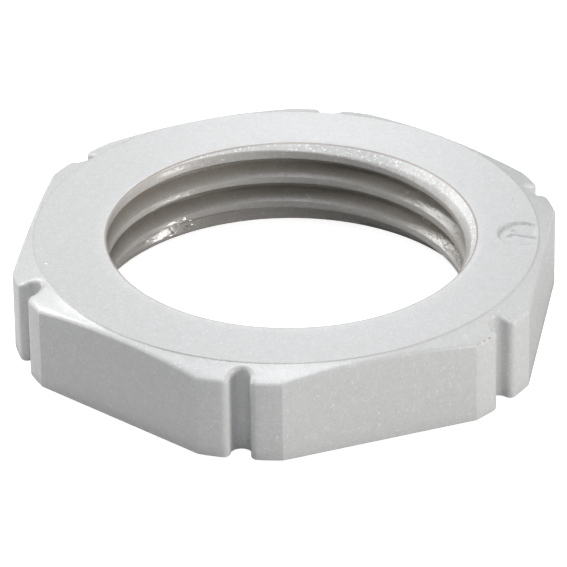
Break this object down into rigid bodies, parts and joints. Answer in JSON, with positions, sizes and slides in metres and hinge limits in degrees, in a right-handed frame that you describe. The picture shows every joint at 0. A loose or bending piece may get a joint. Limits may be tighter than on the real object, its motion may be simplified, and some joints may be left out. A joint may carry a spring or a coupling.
{
  "type": "cable gland locknut",
  "caption": "Flat moulded hexagonal locknut with a fine internal thread, a raised washer face, sloped corner tops and a narrow slot through each rounded corner.",
  "frame": {"origin": "on the thread's axis, in the plane of the flat underside", "axes": "+Z along the thread's axis, from the underside to the washer face; +X through the middle of one flat"},
  "size_m": [0.027, 0.029, 0.005],
  "materials": {
    "nut_plastic": "light grey moulded polyamide with a fine sparkling grain"
  },
  "bodies": {
    "root": {"locknut": "nut_plastic"}
  },
  "joints": []
}
